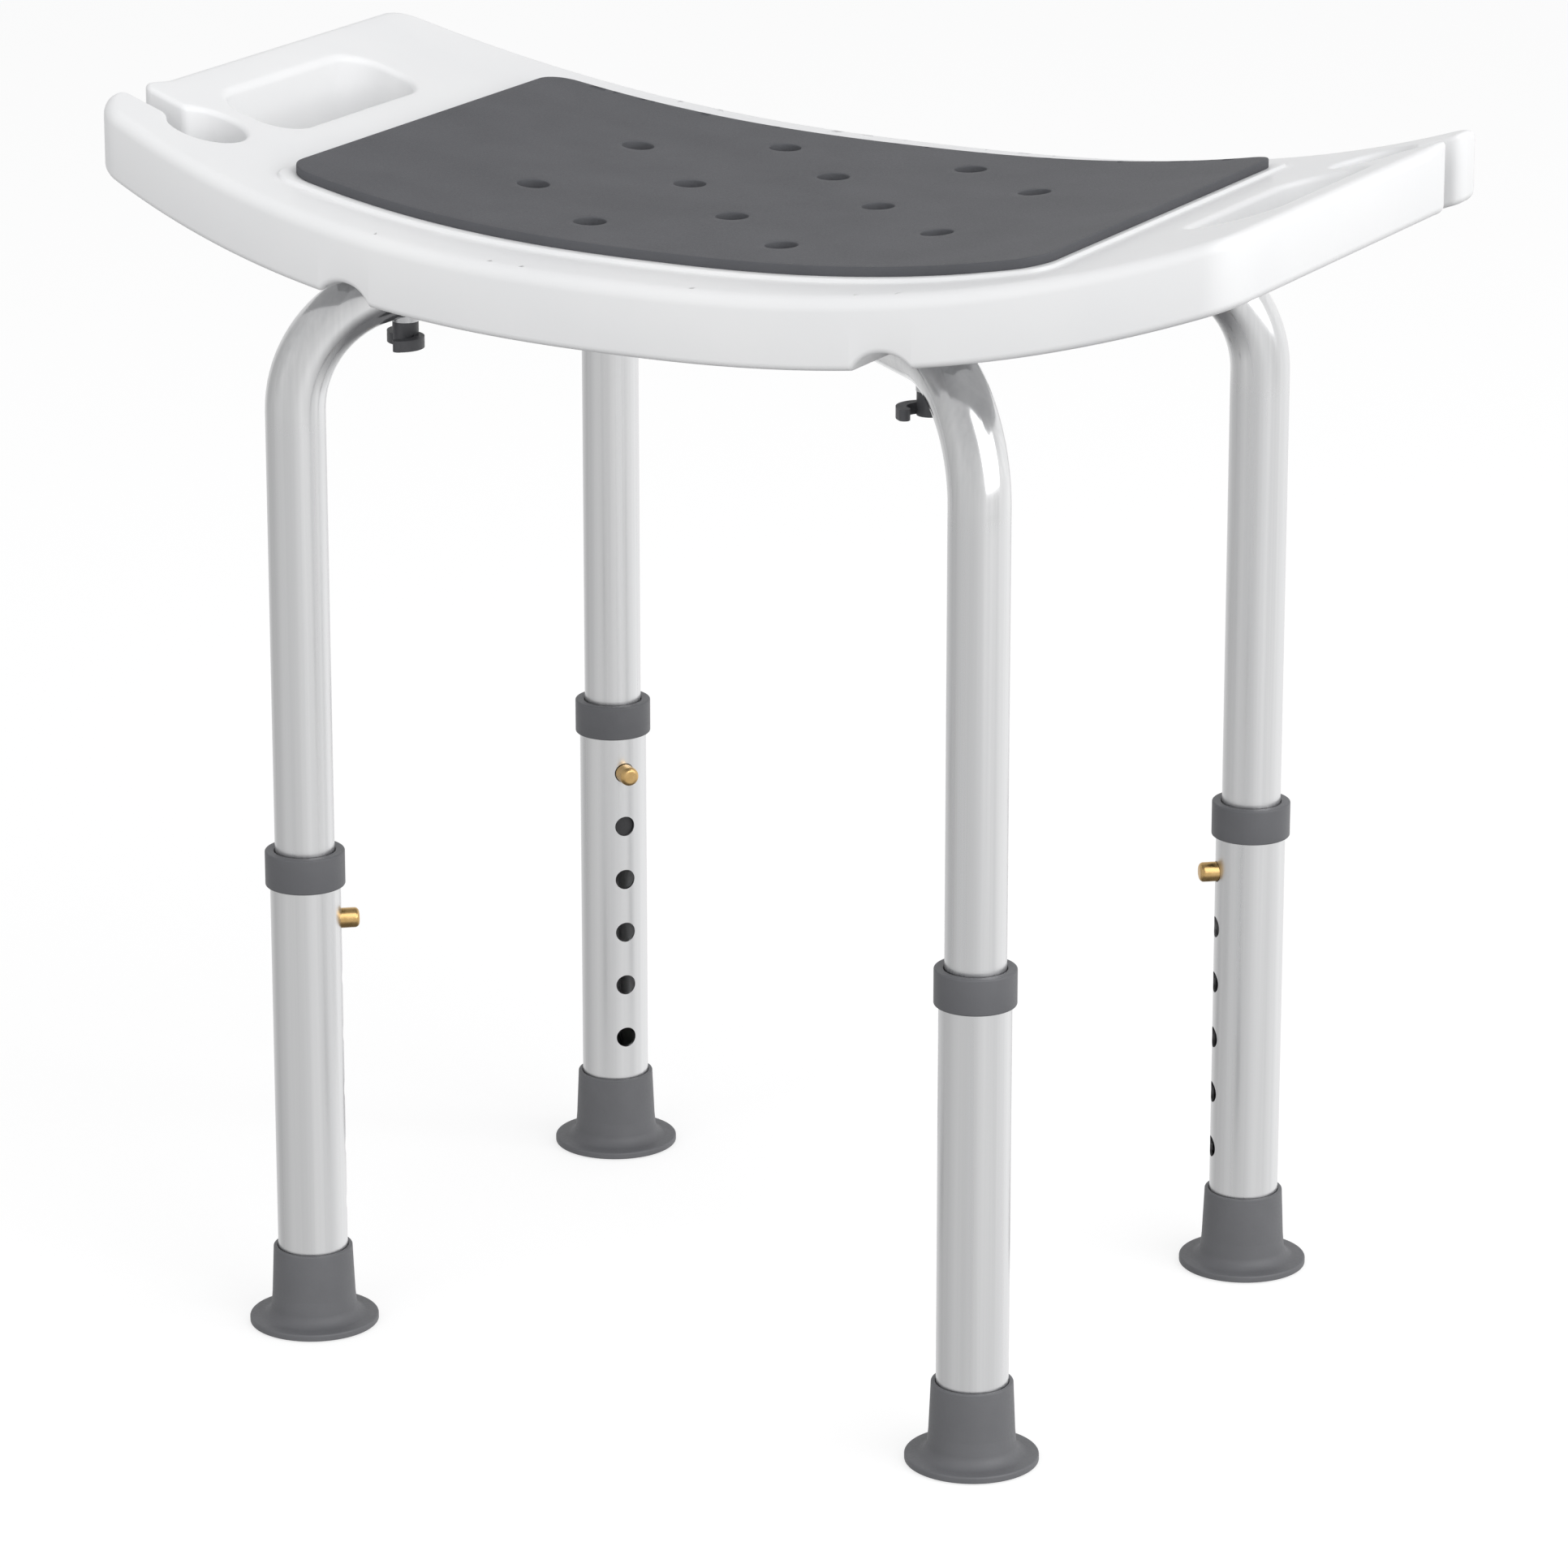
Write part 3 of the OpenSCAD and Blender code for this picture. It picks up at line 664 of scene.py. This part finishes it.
def on_leg(leg):
    sx, sy = leg_sides(leg)
    return lambda x, y, z: (sx * LEG_X + x, sy * LEG_Y + y, z)


COLLAR_LO, COLLAR_HI = box_mm("collar_fl")
FOOT_HI = box_mm("foot_fl")[1]
FOOT_H, FOOT_BASE, FOOT_WALL, FLANGE_R = FOOT_HI[2], 8.0, 2.0, 27.8
COLLAR_R, COLLAR_BORE, COLLAR_LIP = 17.0, 13.0, 3.0


def build_collar(leg):
    low, high = COLLAR_LO[2], COLLAR_HI[2]
    shape = [(LOWER_R + SKIN, low), (COLLAR_R, low), (COLLAR_R, high), (COLLAR_BORE, high),
             (COLLAR_BORE, high - COLLAR_LIP), (LOWER_R + SKIN, high - COLLAR_LIP)]
    lathe("ring_" + leg, round_corner(shape, [0.3, 0.7, 0.7, 0.6, 0.2, 0]), on_leg(leg), GREY,
          "leg_" + leg, "collar_" + leg)


def build_foot(leg):
    top_r, bore_r = LOWER_R + FOOT_WALL, LOWER_R + SKIN
    tread_in, tread_up, flange_h = 2.2, 0.7, 3.5
    root_r, root_h, neck_r, neck_h = 18.8, 3.9, 17.9, 14.0
    flare, flare_h = 0.3, 1.6
    shape = [(0, 0), (FLANGE_R - tread_in, 0), (FLANGE_R, tread_up), (FLANGE_R, flange_h),
             (root_r, root_h), (neck_r, neck_h), (top_r, FOOT_H), (LOWER_R + flare, FOOT_H),
             (bore_r, FOOT_H - flare_h), (bore_r, FOOT_BASE), (0, FOOT_BASE)]
    radii = [0, 1.0, 0.5, 0.8, 5.0, 6.0, 0.6, 0.3, 0, 0, 0]
    lathe("boot_" + leg, round_corner(shape, radii, 8), on_leg(leg), RUBBER,
          "leg_" + leg, "foot_" + leg, 128)


def build_button(leg):
    origin, along, side = leg_frame(leg, HOLE_ANGLE)
    r, tip, stem, flange_r = 4.3, 22.6, 8.93, 5.4

    def place(x, y, h):
        p = origin + along * h + side * x
        return (p[0], p[1], BUTTON_Z + y)

    shape = [(0, stem), (flange_r, stem), (flange_r, stem + 1), (r, stem + 1), (r, tip), (0, tip)]
    profile = round_corner(shape, [0, 0, 0.2, 0, 1.9, 0], 8)
    lathe("pin_" + leg, profile, place, BRASS, "button_" + leg, "snap_button_" + leg, 64)


for leg in LEGS:
    build_collar(leg)
    build_foot(leg)
    build_button(leg)

# ---------------------------------------------------------------- CAD nodes that stay
KEPT = {"seat_inserts": BRASS, "saddle_washers": STEEL, "tube_end_plugs": DARK}
for leg in LEGS:
    KEPT.update({"upper_tube_" + leg: TUBE, "lower_tube_" + leg: TUBE, "guide_bush_" + leg: DARK,
                 "foot_disc_" + leg: STEEL, "button_spring_" + leg: STEEL, "knob_" + leg: KNOB,
                 "knob_bolt_" + leg: STEEL})
for name, material in KEPT.items():
    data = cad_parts[name].data
    data.materials.clear()
    data.materials.append(material)


# ---------------------------------------------------------------- studio
# place in metres, turns in degrees, lens in millimetres
CAM_PLACE, CAM_YAW, CAM_PITCH, CAM_LENS = (1.3919, -2.5021, 1.1206), 29.08, 17.24, 160.75
# share of the turn from -X through -Y, +X and +Y, and the brightness there
BANDS = [(0.0, 0.50), (0.08, 0.56), (0.16, 0.68), (0.25, 0.66), (0.31, 0.70), (0.40, 0.84), (0.50, 0.76),
         (0.58, 0.88), (0.66, 1.0), (0.83, 0.95), (0.93, 0.7), (1.0, 0.50)]
FLOOR_HALF = 60.0


def build_camera():
    cam = bpy.data.cameras.new("camera")
    cam.sensor_width = 36.0
    cam.lens = CAM_LENS
    cam.clip_start, cam.clip_end = 0.1, 100
    ob = bpy.data.objects.new("camera", cam)
    ob.location = CAM_PLACE
    ob.rotation_euler = (math.radians(90 - CAM_PITCH), 0, math.radians(CAM_YAW))
    bpy.context.scene.collection.objects.link(ob)
    bpy.context.scene.camera = ob


def build_floor():
    me = bpy.data.meshes.new("floor")
    s = FLOOR_HALF
    me.from_pydata([(-s, -s, 0), (s, -s, 0), (s, s, 0), (-s, s, 0)], [], [(0, 1, 2, 3)])
    ob = bpy.data.objects.new("floor", me)
    bpy.context.scene.collection.objects.link(ob)
    m, nodes, links, b = new_material("floor_white", (0.35, 0.35, 0.35), 0.8)
    b.inputs["Specular IOR Level"].default_value = 0.0
    b.inputs["Emission Color"].default_value = (1, 1, 1, 1)
    b.inputs["Emission Strength"].default_value = 0.72
    me.materials.append(m)
    ob.visible_glossy = False
    ob.visible_diffuse = False


def area(name, place, target, size, power):
    light = bpy.data.lights.new(name, "AREA")
    light.shape = "RECTANGLE"
    light.size, light.size_y = size
    light.energy = power
    ob = bpy.data.objects.new(name, light)
    ob.location = place
    ob.rotation_euler = (Vector(target) - Vector(place)).to_track_quat("-Z", "Y").to_euler()
    bpy.context.scene.collection.objects.link(ob)
    return ob


def build_world():
    """Pale surroundings, with soft darker bands round the horizon for the metal to reflect."""
    world = bpy.data.worlds.new("studio")
    bpy.context.scene.world = world
    world.use_nodes = True
    nodes, links = world.node_tree.nodes, world.node_tree.links
    back = nodes["Background"]
    coord = nodes.new("ShaderNodeTexCoord")
    split = nodes.new("ShaderNodeSeparateXYZ")
    links.new(coord.outputs["Generated"], split.inputs["Vector"])
    turn = nodes.new("ShaderNodeMath")
    turn.operation = "ARCTAN2"
    links.new(split.outputs["Y"], turn.inputs[0])
    links.new(split.outputs["X"], turn.inputs[1])
    share = nodes.new("ShaderNodeMapRange")
    share.inputs["From Min"].default_value = -math.pi
    share.inputs["From Max"].default_value = math.pi
    links.new(turn.outputs["Value"], share.inputs["Value"])
    bands = nodes.new("ShaderNodeValToRGB")
    bands.color_ramp.interpolation = "EASE"
    el = bands.color_ramp.elements
    el[0].position, el[0].color = BANDS[0][0], (BANDS[0][1],) * 3 + (1,)
    el[1].position, el[1].color = BANDS[-1][0], (BANDS[-1][1],) * 3 + (1,)
    for at, value in BANDS[1:-1]:
        e = el.new(at)
        e.color = (value, value, value, 1)
    links.new(share.outputs["Result"], bands.inputs["Fac"])
    up = nodes.new("ShaderNodeMapRange")
    up.inputs["From Min"].default_value = 0.15
    up.inputs["From Max"].default_value = 0.75
    links.new(split.outputs["Z"], up.inputs["Value"])
    sky = nodes.new("ShaderNodeMix")
    sky.data_type = "RGBA"
    links.new(up.outputs["Result"], sky.inputs["Factor"])
    links.new(bands.outputs["Color"], sky.inputs["A"])
    sky.inputs["B"].default_value = (0.55, 0.55, 0.555, 1)
    down = nodes.new("ShaderNodeMapRange")
    down.inputs["From Min"].default_value = -0.40
    down.inputs["From Max"].default_value = -0.80
    links.new(split.outputs["Z"], down.inputs["Value"])
    ground = nodes.new("ShaderNodeMix")
    ground.data_type = "RGBA"
    links.new(down.outputs["Result"], ground.inputs["Factor"])
    links.new(sky.outputs["Result"], ground.inputs["A"])
    ground.inputs["B"].default_value = (0.18, 0.18, 0.185, 1)
    path = nodes.new("ShaderNodeLightPath")
    seen = nodes.new("ShaderNodeMix")
    seen.data_type = "RGBA"
    links.new(path.outputs["Is Camera Ray"], seen.inputs["Factor"])
    links.new(ground.outputs["Result"], seen.inputs["A"])
    seen.inputs["B"].default_value = (1, 1, 1, 1)
    links.new(seen.outputs["Result"], back.inputs["Color"])
    back.inputs["Strength"].default_value = 1.0


build_camera()
build_floor()
build_world()
area("key", (2.60, -0.50, 2.05), (0, 0, 0.4), (3.6, 3.6), 70)
area("fill", (-0.3, -2.9, 1.5), (0, 0, 0.4), (2.4, 2.4), 22).visible_glossy = False
bpy.context.scene.view_settings.view_transform = "Standard"
